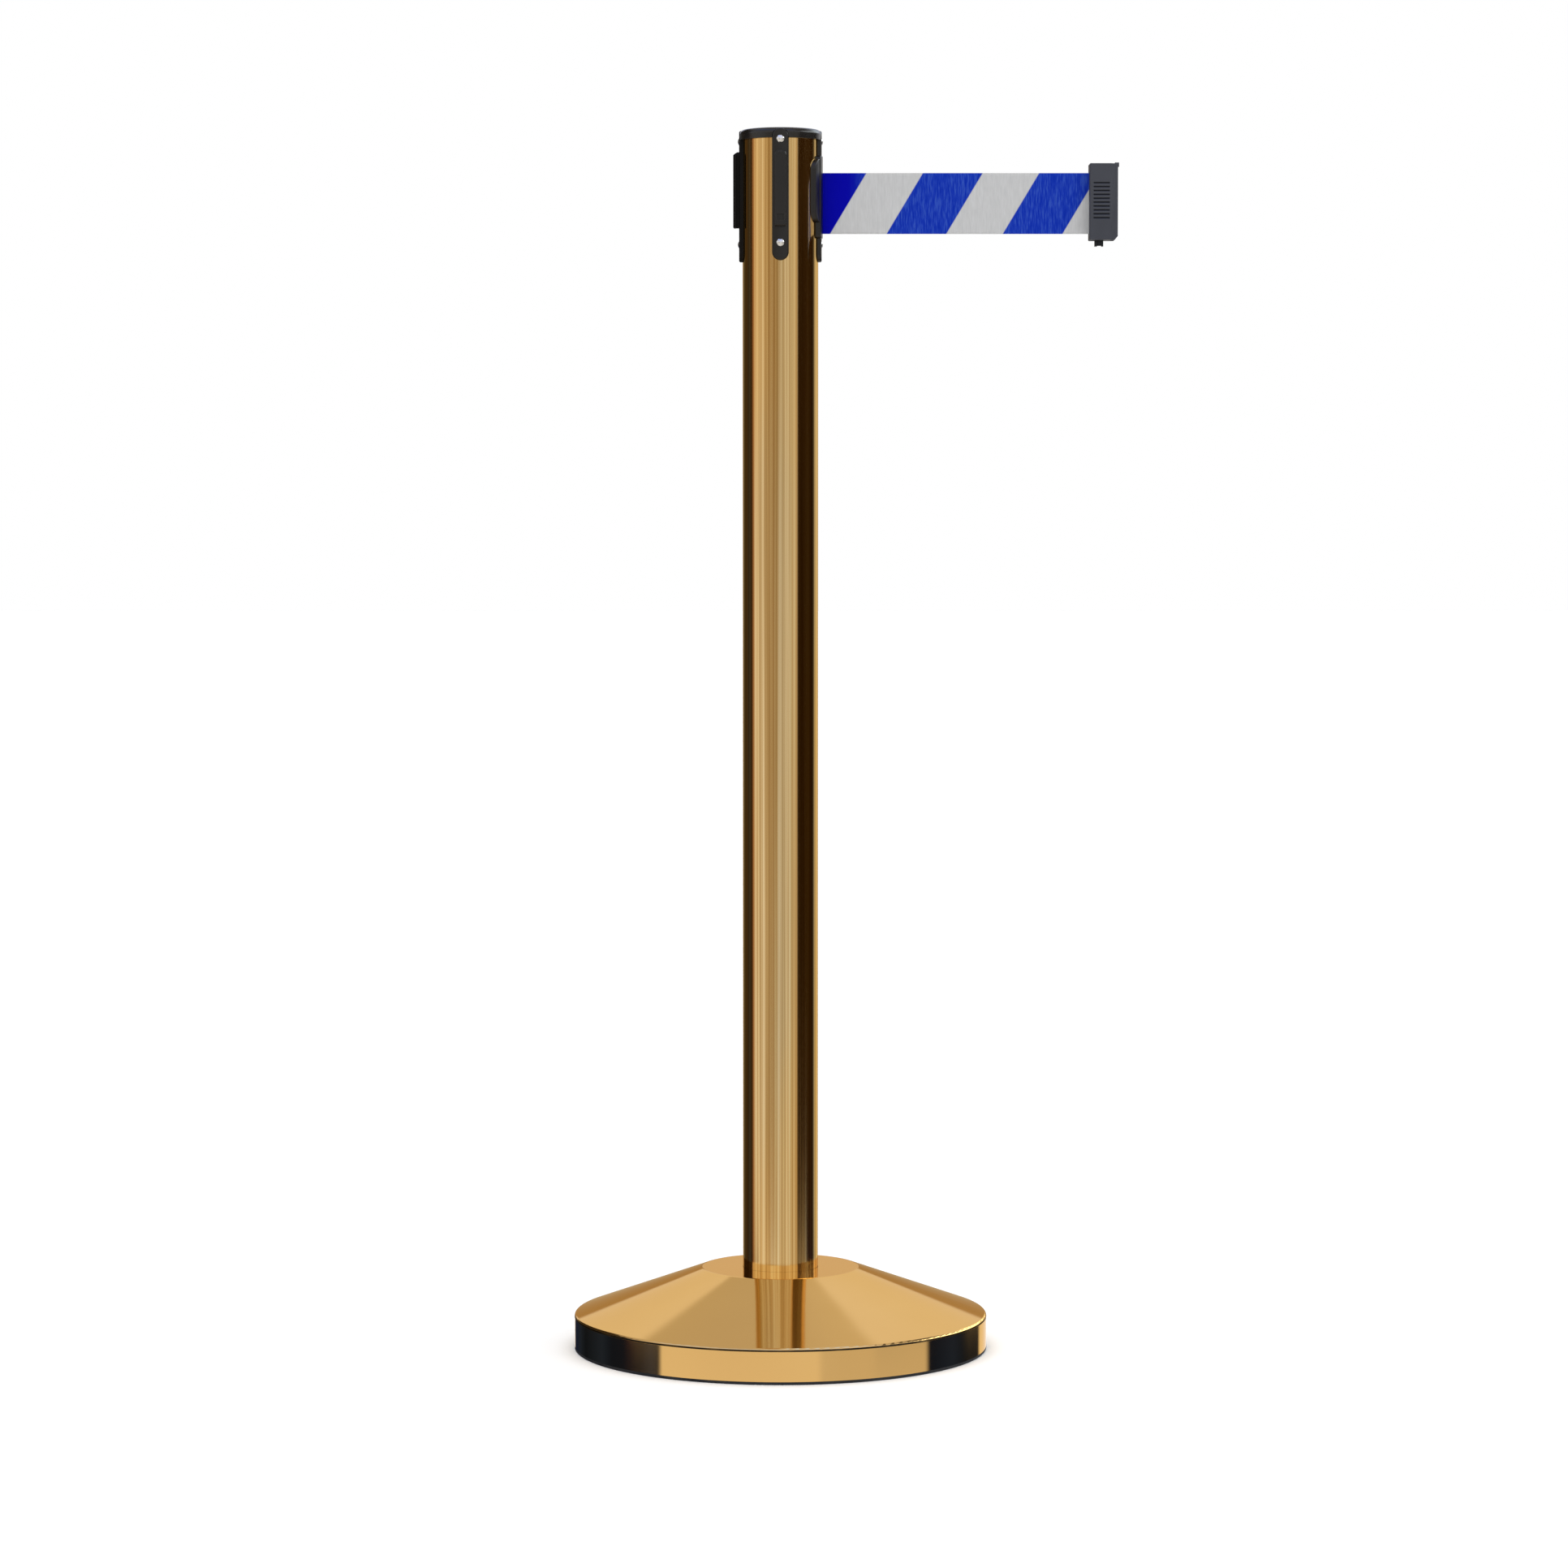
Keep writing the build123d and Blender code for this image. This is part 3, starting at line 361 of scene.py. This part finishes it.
# ---- finishes ----
class Finish:
    """A material being built: its tree, its shader and the place of each point in the frame."""

    def __init__(self, name, metallic=0.0, roughness=0.5, specular=0.5, edge_tint=(1.0, 1.0, 1.0)):
        self.material = bpy.data.materials.new(name)
        self.material.use_nodes = True
        self.tree = self.material.node_tree
        self.tree.nodes.clear()
        self.shader = add_node(self.tree, "ShaderNodeBsdfPrincipled", {
            "Metallic": metallic, "Roughness": roughness, "Specular IOR Level": specular,
            "Specular Tint": opaque(edge_tint),
        })
        add_node(self.tree, "ShaderNodeOutputMaterial", {"Surface": self.shader.outputs[0]})
        self.place = add_node(self.tree, "ShaderNodeTexCoord").outputs["Object"]

    def join(self, output, name):
        self.tree.links.new(output, self.shader.inputs[name])

    def noise(self, per_metre, detail=3.0, roughness=0.5, place=None):
        """Noise from 0 to 1 with its own number of cells to the metre along X, Y and Z."""
        scaled = add_node(
            self.tree, "ShaderNodeVectorMath", {0: place or self.place, 1: per_metre}, operation="MULTIPLY",
        )
        made = add_node(self.tree, "ShaderNodeTexNoise", {
            "Vector": scaled.outputs[0], "Scale": 1.0, "Detail": detail, "Roughness": roughness,
        })
        return made.outputs["Fac"]

    def colour(self, factor, stops):
        self.join(ramp(self.tree, factor, [(at, opaque(tone)) for at, tone in stops]), "Base Color")

    def rough(self, factor, low, high):
        self.join(between(self.tree, factor, 0.3, 0.7, low, high, smooth=False), "Roughness")

    def bump(self, height, depth):
        made = add_node(self.tree, "ShaderNodeBump", {"Height": height, "Distance": depth, "Strength": 1.0})
        self.join(made.outputs[0], "Normal")

    def edges(self, width):
        """1 on sharp outer and inner edges, 0 on the faces between them."""
        bevel = add_node(self.tree, "ShaderNodeBevel", {"Radius": width}, samples=6)
        plain = add_node(self.tree, "ShaderNodeNewGeometry").outputs["Normal"]
        turned = add_node(
            self.tree, "ShaderNodeVectorMath", {0: bevel.outputs[0], 1: plain}, operation="DOT_PRODUCT",
        )
        return between(self.tree, turned.outputs["Value"], 0.995, 0.90)

    def radius(self):
        """Distance from the post's axis."""
        parts = add_node(self.tree, "ShaderNodeSeparateXYZ", {0: self.place})
        squares = [maths(self.tree, "MULTIPLY", parts.outputs[i], parts.outputs[i]) for i in (0, 1)]
        return maths(self.tree, "SQRT", maths(self.tree, "ADD", *squares))

    def along(self, value):
        """A vector whose X is the value, for a pattern that changes in one direction only."""
        return add_node(self.tree, "ShaderNodeCombineXYZ", {"X": value}).outputs[0]


def post_brass():
    """Brass drawn and polished lengthways: streaks of several widths run up the tube."""
    made = Finish("post_brass", metallic=1.0, edge_tint=(0.92, 0.74, 0.45))
    tree = made.tree
    wide = made.noise((170.0, 170.0, 0.4), detail=2.0)
    middle = made.noise((520.0, 520.0, 0.9), detail=2.0)
    fine = made.noise((1700.0, 1700.0, 4.0), detail=3.0)
    slow = made.noise((14.0, 14.0, 2.2), detail=2.0)
    tone = maths(tree, "MULTIPLY_ADD", middle, 0.42, maths(tree, "MULTIPLY", wide, 0.40))
    tone = maths(tree, "MULTIPLY_ADD", fine, 0.18, tone)
    cool = ramp(tree, tone, [
        (0.41, (0.490, 0.300, 0.110, 1.0)),
        (0.50, (0.720, 0.490, 0.225, 1.0)),
        (0.59, (0.900, 0.700, 0.400, 1.0)),
    ])
    warm = ramp(tree, tone, [
        (0.41, (0.560, 0.325, 0.105, 1.0)),
        (0.50, (0.750, 0.470, 0.180, 1.0)),
        (0.59, (0.910, 0.670, 0.340, 1.0)),
    ])
    made.join(mix(tree, between(tree, slow, 0.40, 0.60), cool, warm), "Base Color")
    made.rough(maths(tree, "MULTIPLY_ADD", slow, 0.4, maths(tree, "MULTIPLY", fine, 0.6)), 0.06, 0.13)
    made.bump(fine, 0.004 * MM)
    return made.material


def cover_brass():
    """Brass spun over the base: faint rings round the axis, a soft haze, and a painted dark reflection line
    under the rim.
    """
    made = Finish("cover_brass", metallic=1.0, edge_tint=(0.87, 0.72, 0.50))
    tree = made.tree
    radius = made.radius()
    rings = made.noise((2600.0, 1.0, 1.0), detail=2.0, place=made.along(radius))
    haze = made.noise((7.0, 7.0, 7.0), detail=4.0)
    patches = made.noise((30.0, 30.0, 30.0), detail=2.0)
    tone = maths(tree, "MULTIPLY_ADD", rings, 0.3, maths(tree, "MULTIPLY", haze, 0.7))
    brass = ramp(tree, tone, [
        (0.30, (0.690, 0.415, 0.145, 1.0)),
        (0.50, (0.720, 0.435, 0.150, 1.0)),
        (0.70, (0.745, 0.460, 0.165, 1.0)),
    ])
    height = add_node(tree, "ShaderNodeSeparateXYZ", {0: made.place}).outputs["Z"]
    # Painted reflection: a dark line round the rim under the skirt's top, its strength broken up by noise.
    line = window(tree, height, RIM_LINE)
    wear_and_painted_shading = maths(tree, "MULTIPLY", line, between(tree, patches, 0.25, 0.5, 0.8, 1.0))
    made.join(mix(tree, wear_and_painted_shading, brass, opaque(RIM_PAINTED_REFLECTION)), "Base Color")
    shine = between(tree, haze, 0.3, 0.7, 0.05, 0.09, smooth=False)
    made.join(maths(tree, "MULTIPLY_ADD", wear_and_painted_shading, 0.45, shine), "Roughness")
    made.bump(rings, 0.0015 * MM)
    return made.material


def bush_brass():
    made = Finish("bush_brass", metallic=1.0)
    pores = made.noise((2500.0, 2500.0, 2500.0), detail=4.0)
    made.colour(pores, [(0.3, (0.38, 0.24, 0.09)), (0.7, (0.62, 0.42, 0.18))])
    made.rough(pores, 0.35, 0.6)
    made.bump(pores, 0.02 * MM)
    return made.material


def moulded(name, dark, light, wear_and_painted_shading, low, high, edge=0.45 * MM, specular=0.5, tint=(1.0, 1.0, 1.0)):
    """Moulded plastic: fine spark grain, slow drift of tone, and lighter edges, partly scuffed by hands and
    belts and partly a painted highlight.
    """
    made = Finish(name, specular=specular, edge_tint=tint)
    tree = made.tree
    drift = made.noise((24.0, 24.0, 16.0), detail=3.0)
    spark = made.noise((1800.0, 1800.0, 1800.0), detail=2.0, roughness=0.6)
    tone = maths(tree, "MULTIPLY_ADD", spark, 0.35, maths(tree, "MULTIPLY", drift, 0.65))
    plain = ramp(tree, tone, [(0.3, opaque(dark)), (0.7, opaque(light))])
    # Lighter edges: scuffing, with a painted highlight along every sharp edge.
    rubbed_and_highlit = maths(tree, "MULTIPLY", made.edges(edge), between(tree, drift, 0.35, 0.6, 0.45, 1.0))
    made.join(mix(tree, rubbed_and_highlit, plain, opaque(wear_and_painted_shading)), "Base Color")
    gloss = maths(tree, "MULTIPLY_ADD", spark, 0.4, maths(tree, "MULTIPLY", drift, 0.6))
    made.rough(gloss, low, high)
    made.bump(spark, 0.012 * MM)
    return made


def plated_steel(name, dark, light, low, high):
    """Bright or zinc-plated steel with fine turning lines."""
    made = Finish(name, metallic=1.0)
    lines = made.noise((700.0, 700.0, 60.0), detail=3.0)
    cloud = made.noise((160.0, 160.0, 160.0), detail=3.0)
    tone = maths(made.tree, "MULTIPLY_ADD", lines, 0.5, maths(made.tree, "MULTIPLY", cloud, 0.5))
    made.colour(tone, [(0.3, dark), (0.7, light)])
    made.rough(lines, low, high)
    made.bump(lines, 0.006 * MM)
    return made.material


def cast_iron():
    """Sand-cast iron under a thin dark primer."""
    made = Finish("iron", roughness=0.7)
    sand = made.noise((420.0, 420.0, 420.0), detail=6.0, roughness=0.65)
    patches = made.noise((18.0, 18.0, 18.0), detail=4.0)
    tone = maths(made.tree, "MULTIPLY_ADD", sand, 0.5, maths(made.tree, "MULTIPLY", patches, 0.5))
    made.colour(tone, [
        (0.35, (0.018, 0.018, 0.019)), (0.55, (0.05, 0.05, 0.05)), (0.7, (0.11, 0.075, 0.055)),
    ])
    made.rough(sand, 0.55, 0.85)
    made.bump(sand, 0.25 * MM)
    return made.material


def rubber():
    made = Finish("rubber", roughness=0.75, specular=0.3)
    dust = made.noise((40.0, 40.0, 40.0), detail=5.0, roughness=0.6)
    skin = made.noise((1500.0, 1500.0, 1500.0), detail=2.0)
    made.colour(dust, [(0.35, (0.008, 0.008, 0.008)), (0.75, (0.03, 0.029, 0.028))])
    made.rough(skin, 0.6, 0.85)
    made.bump(skin, 0.02 * MM)
    return made.material


def webbing(name, wound):
    """Woven polyester with slanted blue and grey bars. Wound webbing counts its bars along its own length."""
    made = Finish(name, roughness=0.62, specular=0.04)
    tree = made.tree
    parts = add_node(tree, "ShaderNodeSeparateXYZ", {0: made.place})
    along, up = parts.outputs["X"], parts.outputs["Z"]
    if wound:
        along = add_node(tree, "ShaderNodeAttribute", attribute_name="along").outputs["Fac"]
    middle = (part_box("belt_coil")[0].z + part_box("belt_coil")[1].z) / 2
    rise = maths(tree, "SUBTRACT", up, middle)
    slanted = maths(tree, "SUBTRACT", along, maths(tree, "MULTIPLY", rise, STRIPE_LEAN))
    turns = maths(tree, "DIVIDE", maths(tree, "SUBTRACT", slanted, STRIPE_START), STRIPE_PERIOD)
    share = maths(tree, "FRACT", maths(tree, "ADD", turns, 100.0))
    grey_share = 1.0 - STRIPE_BLUE_SHARE
    into_blue = between(tree, share, grey_share - STRIPE_BLUR, grey_share + STRIPE_BLUR)
    into_grey = between(tree, share, 0.0, 2.0 * STRIPE_BLUR)
    is_blue = maths(tree, "MAXIMUM", into_blue, maths(tree, "SUBTRACT", 1.0, into_grey))

    weft = add_node(tree, "ShaderNodeCombineXYZ", {"X": along, "Z": up}).outputs[0]
    streaks = made.noise((900.0, 1.0, 110.0), detail=2.0, place=weft)
    yarns = made.noise((330.0, 1.0, 45.0), detail=2.0, place=weft)
    fleck = maths(tree, "MULTIPLY_ADD", streaks, 0.6, maths(tree, "MULTIPLY", yarns, 0.4))
    blues = ramp(tree, fleck, [(0.40, opaque(BLUE_DARK)), (0.50, opaque(BLUE)), (0.60, opaque(BLUE_LIGHT))])
    greys = ramp(tree, fleck, [(0.35, grey(0.48)), (0.5, opaque(GREY)), (0.65, grey(0.55))])
    # Painted shade: the blue deepens towards the outlet, as if the post shades it.
    if not wound:
        outlet_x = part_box("belt_outlet")[1].x
        post_shade = between(tree, along, outlet_x + POST_SHADE_FROM, outlet_x + POST_SHADE_TO)
        blues = mix(tree, post_shade, blues, opaque(BLUE_PAINTED_SHADE))
    made.join(mix(tree, is_blue, greys, blues), "Base Color")

    rib = maths(tree, "SINE", maths(tree, "MULTIPLY", along, 2.0 * math.pi / RIB_PITCH))
    warp = maths(tree, "SINE", maths(tree, "MULTIPLY", up, 2.0 * math.pi / WARP_PITCH))
    weave = maths(tree, "MULTIPLY", rib, maths(tree, "MULTIPLY_ADD", warp, 0.35, 0.65))
    height = maths(tree, "MULTIPLY_ADD", weave, 0.5, maths(tree, "MULTIPLY", streaks, 0.8))
    made.bump(height, 0.035 * MM)
    made.rough(streaks, 0.55, 0.75)
    return made.material


def clip_plastic():
    """Slate-grey moulding, with painted shade down in the grip's grooves."""
    made = moulded(
        "clip_plastic", (0.033, 0.034, 0.041), (0.047, 0.048, 0.057), (0.070, 0.073, 0.084),
        0.42, 0.60, specular=0.35,
    )
    tree = made.tree
    low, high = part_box("clip_front_shell")[0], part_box("clip_rear_shell")[1]
    parts = add_node(tree, "ShaderNodeSeparateXYZ", {0: made.place})
    # Painted shade: the deeper a point lies in the grip's grooves, the darker.
    depth = maths(tree, "SUBTRACT", (high.y - low.y) / 2, maths(tree, "ABSOLUTE", parts.outputs["Y"]))
    bars = window(tree, parts.outputs["X"], [low.x + v * MM for v in GRIP_ACROSS])
    grip = maths(tree, "MULTIPLY", bars, window(tree, parts.outputs["Z"], [v * MM for v in GRIP_HEIGHT]))
    shade = maths(tree, "MULTIPLY", grip, between(tree, depth, *[v * MM for v in GROOVE_DEPTH]))
    colour = made.shader.inputs["Base Color"].links[0].from_socket
    made.join(mix(tree, shade, colour, opaque(GROOVE_SHADE)), "Base Color")
    return made.material


def make_finishes():
    return {
        "post_brass": post_brass(),
        "cover_brass": cover_brass(),
        "bush_brass": bush_brass(),
        "iron": cast_iron(),
        "rubber": rubber(),
        "steel": plated_steel("steel", (0.36, 0.36, 0.37), (0.66, 0.66, 0.67), 0.25, 0.42),
        "rivet_steel": plated_steel("rivet_steel", (0.50, 0.46, 0.41), (0.82, 0.77, 0.68), 0.20, 0.34),
        "spring_steel": plated_steel("spring_steel", (0.10, 0.12, 0.18), (0.28, 0.31, 0.38), 0.22, 0.35),
        "zinc": plated_steel("zinc", (0.34, 0.35, 0.36), (0.52, 0.53, 0.54), 0.42, 0.6),
        "cap_plastic": moulded(
            "cap_plastic", (0.004, 0.0035, 0.003), (0.009, 0.0075, 0.006), (0.030, 0.028, 0.026),
            0.16, 0.24, specular=0.42, tint=WARM_TINT,
        ).material,
        "strip_plastic": moulded(
            "strip_plastic", (0.003, 0.0025, 0.002), (0.008, 0.006, 0.0045), (0.034, 0.029, 0.024),
            0.24, 0.36, specular=0.36, tint=WARM_TINT,
        ).material,
        # A darker, less glossy copy of strip_plastic: painted shade on the receiver on the left.
        "painted_shade_plastic": moulded(
            "painted_shade_plastic", (0.003, 0.0025, 0.002), (0.006, 0.005, 0.004), (0.020, 0.018, 0.016),
            0.40, 0.55, specular=0.08, tint=WARM_TINT,
        ).material,
        "clip_plastic": clip_plastic(),
        "lever_plastic": moulded(
            "lever_plastic", (0.003, 0.003, 0.003), (0.006, 0.006, 0.006), (0.02, 0.02, 0.02),
            0.36, 0.5, specular=0.3,
        ).material,
        "cassette_plastic": moulded(
            "cassette_plastic", (0.05, 0.05, 0.055), (0.09, 0.09, 0.10), (0.15, 0.15, 0.16), 0.4, 0.55,
        ).material,
        "nylon": moulded(
            "nylon", (0.62, 0.60, 0.53), (0.78, 0.76, 0.69), (0.85, 0.84, 0.80), 0.35, 0.5, specular=0.4,
        ).material,
        "webbing": webbing("webbing", wound=False),
        "webbing_wound": webbing("webbing_wound", wound=True),
    }


def finish_cad_nodes(finishes):
    slots = {row["node"]: row["material_slot"] for row in frame["record"]["subparts"]}
    for name, node in frame["nodes"].items():
        node.data.materials.clear()
        node.data.materials.append(finishes[SHADED_COPIES.get(name, slots[name])])


# ---- webbing ----
def link(name, mesh, material):
    piece = bpy.data.objects.new(name, mesh)
    bpy.context.scene.collection.objects.link(piece)
    mesh.materials.append(material)
    for polygon in mesh.polygons:
        polygon.use_smooth = True
    return piece


def webbing_section(half_width, rows):
    """Outline of the webbing's section as (across, up): thin, with a rounded, slightly thicker selvedge."""
    side = []
    for row in range(rows + 1):
        up = -half_width + 2.0 * half_width * row / rows
        in_from_edge = (half_width - abs(up)) / SELVEDGE
        bead = max(0.0, 1.0 - in_from_edge)
        half_thick = (BELT_THICK + (BELT_EDGE_THICK - BELT_THICK) * bead) / 2
        if row in (0, rows):
            half_thick *= SELVEDGE_TIP
        side.append((half_thick, up))
    return side + [(-across, up) for across, up in reversed(side)]


def loft(name, line, middle_z, section):
    """Webbing swept along a line of (x, y) points, upright, with its distance along kept as an attribute."""
    points = [Vector(point) for point in line]
    travel = [0.0]
    for first, second in zip(points, points[1:]):
        travel.append(travel[-1] + (second - first).length)
    vertices, faces, along = [], [], []
    count = len(section)
    for index, point in enumerate(points):
        ahead = points[min(index + 1, len(points) - 1)] - points[max(index - 1, 0)]
        side = Vector((-ahead.y, ahead.x)).normalized()
        for across, up in section:
            vertices.append((point.x + side.x * across, point.y + side.y * across, middle_z + up))
            along.append(travel[index])
    for index in range(len(points) - 1):
        for k in range(count):
            here, beside = index * count + k, index * count + (k + 1) % count
            faces.append((here, beside, beside + count, here + count))
    last = (len(points) - 1) * count
    faces.append(tuple(reversed(range(count))))
    faces.append(tuple(range(last, last + count)))
    mesh = bpy.data.meshes.new(name)
    mesh.from_pydata(vertices, [], faces)
    attribute = mesh.attributes.new("along", "FLOAT", "POINT")
    attribute.data.foreach_set("value", along)
    mesh.update()
    fix_normals(mesh)
    return mesh, travel[-1]


def fix_normals(mesh):
    work = bmesh.new()
    work.from_mesh(mesh)
    bmesh.ops.recalc_face_normals(work, faces=work.faces)
    work.to_mesh(mesh)
    work.free()


def arc(centre, radius, start, end, steps):
    """Points on an arc between two angles."""
    angles = [start + (end - start) * step / steps for step in range(steps + 1)]
    return [(centre[0] + radius * math.cos(a), centre[1] + radius * math.sin(a)) for a in angles]


def belt_line(coil_r, pin_x):
    """From the wound coil round the outlet's lip, straight out, and round the clip's pin."""
    away = math.acos(coil_r / LIP_X)
    slope = math.pi / 2 - away
    reach = LIP_BEND * math.tan(slope / 2)
    line = [(coil_r * math.cos(away), coil_r * math.sin(away))]
    line += arc((LIP_X + reach, LIP_BEND), LIP_BEND, math.radians(270.0) - slope, math.radians(270.0), 8)
    first_x = line[-1][0]
    last_x = pin_x - LOOP_LEAD
    for step in range(1, RUN_STEPS + 1):
        share = step / RUN_STEPS
        sway = SWAY * math.sin(math.pi * share) * math.sin(SWAY_WAVES * math.pi * share)
        line.append((first_x + (last_x - first_x) * share, sway))
    swing = math.radians(LOOP_SWING_DEG)
    line += arc((pin_x, 0.0), LOOP_INNER + BELT_THICK / 2, -swing, swing, 22)
    return line


def make_belt(finishes):
    coil_low, coil_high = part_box("belt_coil")
    pin_low, pin_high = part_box("belt_pin")
    middle_z = (coil_low.z + coil_high.z) / 2
    half_width = (coil_high.z - coil_low.z) / 2
    coil_r = coil_high.x
    line = belt_line(coil_r, (pin_low.x + pin_high.x) / 2)
    mesh, length = loft("belt", line, middle_z, webbing_section(half_width, 26))
    belt = link("belt", mesh, finishes["webbing"])
    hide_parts("belt_webbing")
    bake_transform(belt)


def make_coil(finishes):
    """The wound webbing, turn on turn, from the core out to where the belt leaves it."""
    low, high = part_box("belt_coil")
    core_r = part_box("belt_anchor_rod")[1].x + COIL_CORE_GAP
    outer_r = high.x - BELT_THICK / 2
    turns = (outer_r - core_r) / COIL_PITCH
    end_angle = math.acos(high.x / LIP_X)
    steps = int(turns * COIL_STEPS_A_TURN)
    line = []
    for step in range(steps + 1):
        share = step / steps
        angle = end_angle + 2.0 * math.pi * turns * (1.0 - share)
        radius = core_r + (outer_r - core_r) * share
        line.append((radius * math.cos(angle), radius * math.sin(angle)))
    middle_z = (low.z + high.z) / 2
    mesh, length = loft("belt_roll", line, middle_z, webbing_section((high.z - low.z) / 2, 4))
    coil = link("belt_roll", mesh, finishes["webbing_wound"])
    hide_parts("belt_coil")
    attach(coil, "spool")


make_camera()
make_world()
make_lights()
make_floor()
finishes = make_finishes()
finish_cad_nodes(finishes)
make_belt(finishes)
make_coil(finishes)

bpy.context.scene.view_settings.view_transform = "Standard"
bpy.context.scene.view_settings.look = "None"
